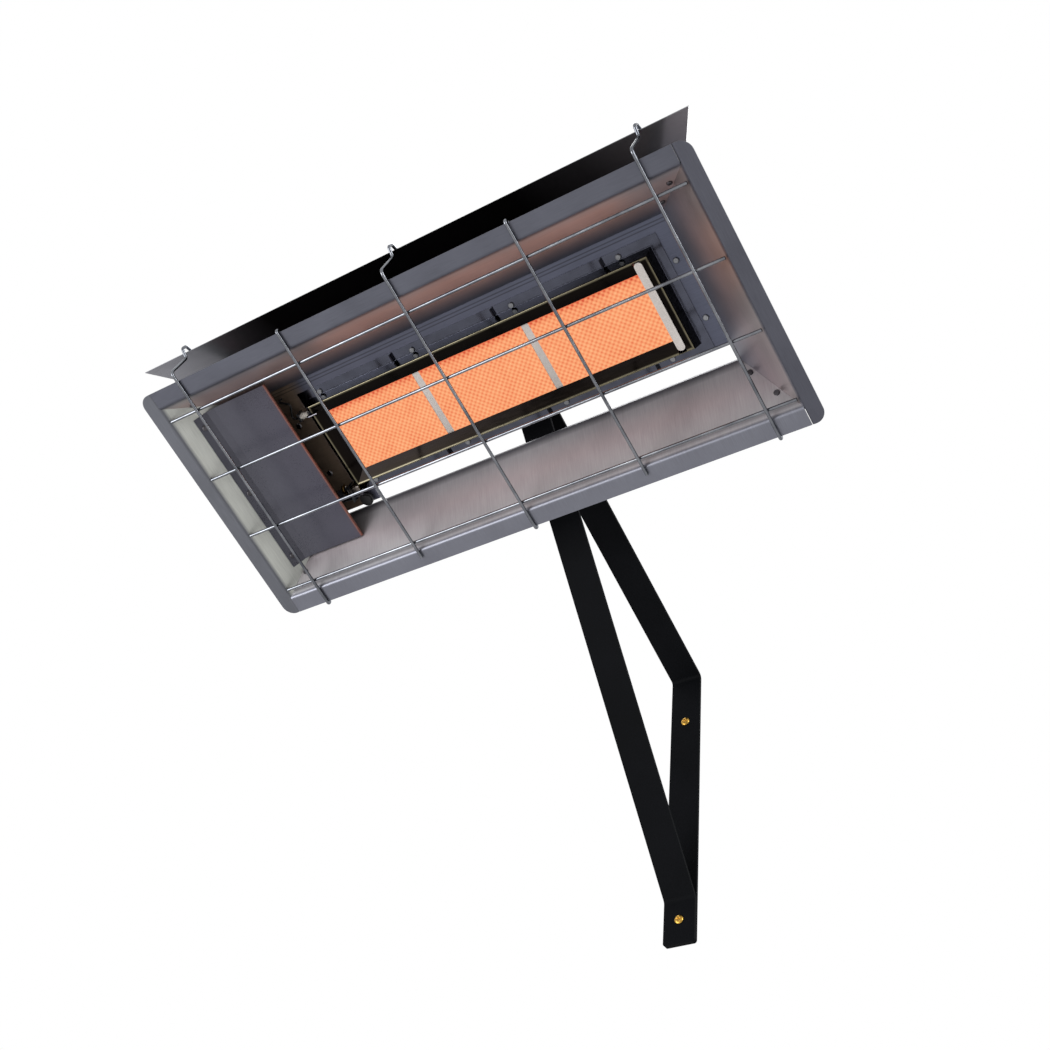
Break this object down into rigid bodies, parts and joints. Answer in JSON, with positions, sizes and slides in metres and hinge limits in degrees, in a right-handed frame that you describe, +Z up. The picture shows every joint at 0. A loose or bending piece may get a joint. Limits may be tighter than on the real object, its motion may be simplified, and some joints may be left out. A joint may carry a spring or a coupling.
{
  "type": "gas radiant heater",
  "caption": "Ceramic-tile gas radiant heater in a flared sheet housing with wire guard and canopy, hung from a two-strap wall bracket with swivel and tilt",
  "frame": {"origin": "midway between the two wall bolt holes, on the face of the bracket that meets the wall", "axes": "+X along the heater, +Y into the wall with the room at -Y, +Z up"},
  "size_m": [0.691, 0.6541, 0.5413],
  "materials": {
    "galvanised_sheet": "satin sheet",
    "polished_sheet": "polished sheet",
    "zinc_wire": "bright zinc",
    "dark_sheet": "satin paint",
    "ceramic_tile": "matt perforated",
    "ceramic_fibre": "matt fibre",
    "zinc_steel": "zinc plated",
    "brass_parts": "turned",
    "copper_tube": "drawn tube, heat tinted",
    "black_steel": "satin powder coat",
    "black_plastic": "moulded",
    "red_plastic": "moulded",
    "glazed_ceramic": "glazed",
    "lead_sleeve": "silicone sleeve"
  },
  "bodies": {
    "bracket": {"upper_arm": "black_steel", "brace_strap": "black_steel", "swivel_bolt": "zinc_steel", "swivel_washers": "zinc_steel", "swivel_nut": "zinc_steel"},
    "swivel_hanger": {"swivel_clevis": "zinc_steel"},
    "heater": {"reflector_side_room": "galvanised_sheet", "reflector_side_wall": "galvanised_sheet", "reflector_end_left": "galvanised_sheet", "reflector_end_right": "galvanised_sheet", "burner_mounting_plate": "galvanised_sheet", "plenum_pan": "galvanised_sheet", "plenum_baffle": "galvanised_sheet", "tilt_yoke": "galvanised_sheet", "pilot_bracket": "galvanised_sheet", "electrode_clip": "galvanised_sheet", "heat_deflector": "polished_sheet", "tile_retainer": "polished_sheet", "pilot_hood": "polished_sheet", "guard_cross_wires": "zinc_wire", "guard_long_wires": "zinc_wire", "control_cover": "dark_sheet", "control_box": "dark_sheet", "ceramic_tile_left": "ceramic_tile", "ceramic_tile_middle": "ceramic_tile", "ceramic_tile_right": "ceramic_tile", "tile_dividers": "ceramic_fibre", "tile_gasket": "ceramic_fibre", "end_gasket": "ceramic_fibre", "reflector_screws": "zinc_steel", "control_cover_screws": "zinc_steel", "mounting_plate_screws": "zinc_steel", "retainer_screws": "zinc_steel", "control_box_screws": "zinc_steel", "deflector_screws": "zinc_steel", "yoke_screws": "zinc_steel", "tilt_bolt": "zinc_steel", "tilt_washer": "zinc_steel", "tilt_wing_nut": "zinc_steel", "knob_spring": "zinc_steel", "piezo_spring": "zinc_steel", "venturi_tube": "zinc_steel", "igniter_electrode": "zinc_steel", "thermocouple": "zinc_steel", "gas_orifice": "brass_parts", "gas_valve_body": "brass_parts", "inlet_fitting": "brass_parts", "pilot_burner": "brass_parts", "pilot_tube": "copper_tube", "piezo_body": "black_plastic", "pilot_filter": "black_plastic", "igniter_insulator": "glazed_ceramic", "igniter_lead": "lead_sleeve", "thermocouple_lead": "lead_sleeve"},
    "valve_spindle": {"valve_stem": "zinc_steel"},
    "gas_knob": {"valve_knob": "black_plastic"},
    "igniter_button": {"piezo_button": "red_plastic"}
  },
  "joints": [
    {"name": "swivel", "type": "hinge", "parent": "bracket", "child": "swivel_hanger", "pos_m": [0, -0.45338, 0.34277], "axis": [0, 0.373, 0.9278], "range_deg": [-30, 30]},
    {"name": "tilt", "type": "hinge", "parent": "swivel_hanger", "child": "heater", "pos_m": [0, -0.45338, 0.34277], "axis": [1, 0, 0], "range_deg": [-17, 13]},
    {"name": "gas_knob_turn", "type": "hinge", "parent": "heater", "child": "valve_spindle", "pos_m": [-0.3, -0.45333, 0.29439], "axis": [-1, 0, 0], "range_deg": [0, 180]},
    {"name": "gas_knob_press", "type": "slide", "parent": "valve_spindle", "child": "gas_knob", "axis": [1, 0, 0], "range_m": [0, 0.004], "stiffness_N_per_m": 1500, "springref_m": -0.002, "deforming": ["knob_spring"]},
    {"name": "igniter_press", "type": "slide", "parent": "heater", "child": "igniter_button", "axis": [1, 0, 0], "range_m": [0, 0.006], "stiffness_N_per_m": 1500, "springref_m": -0.002, "deforming": ["piezo_spring"]}
  ]
}
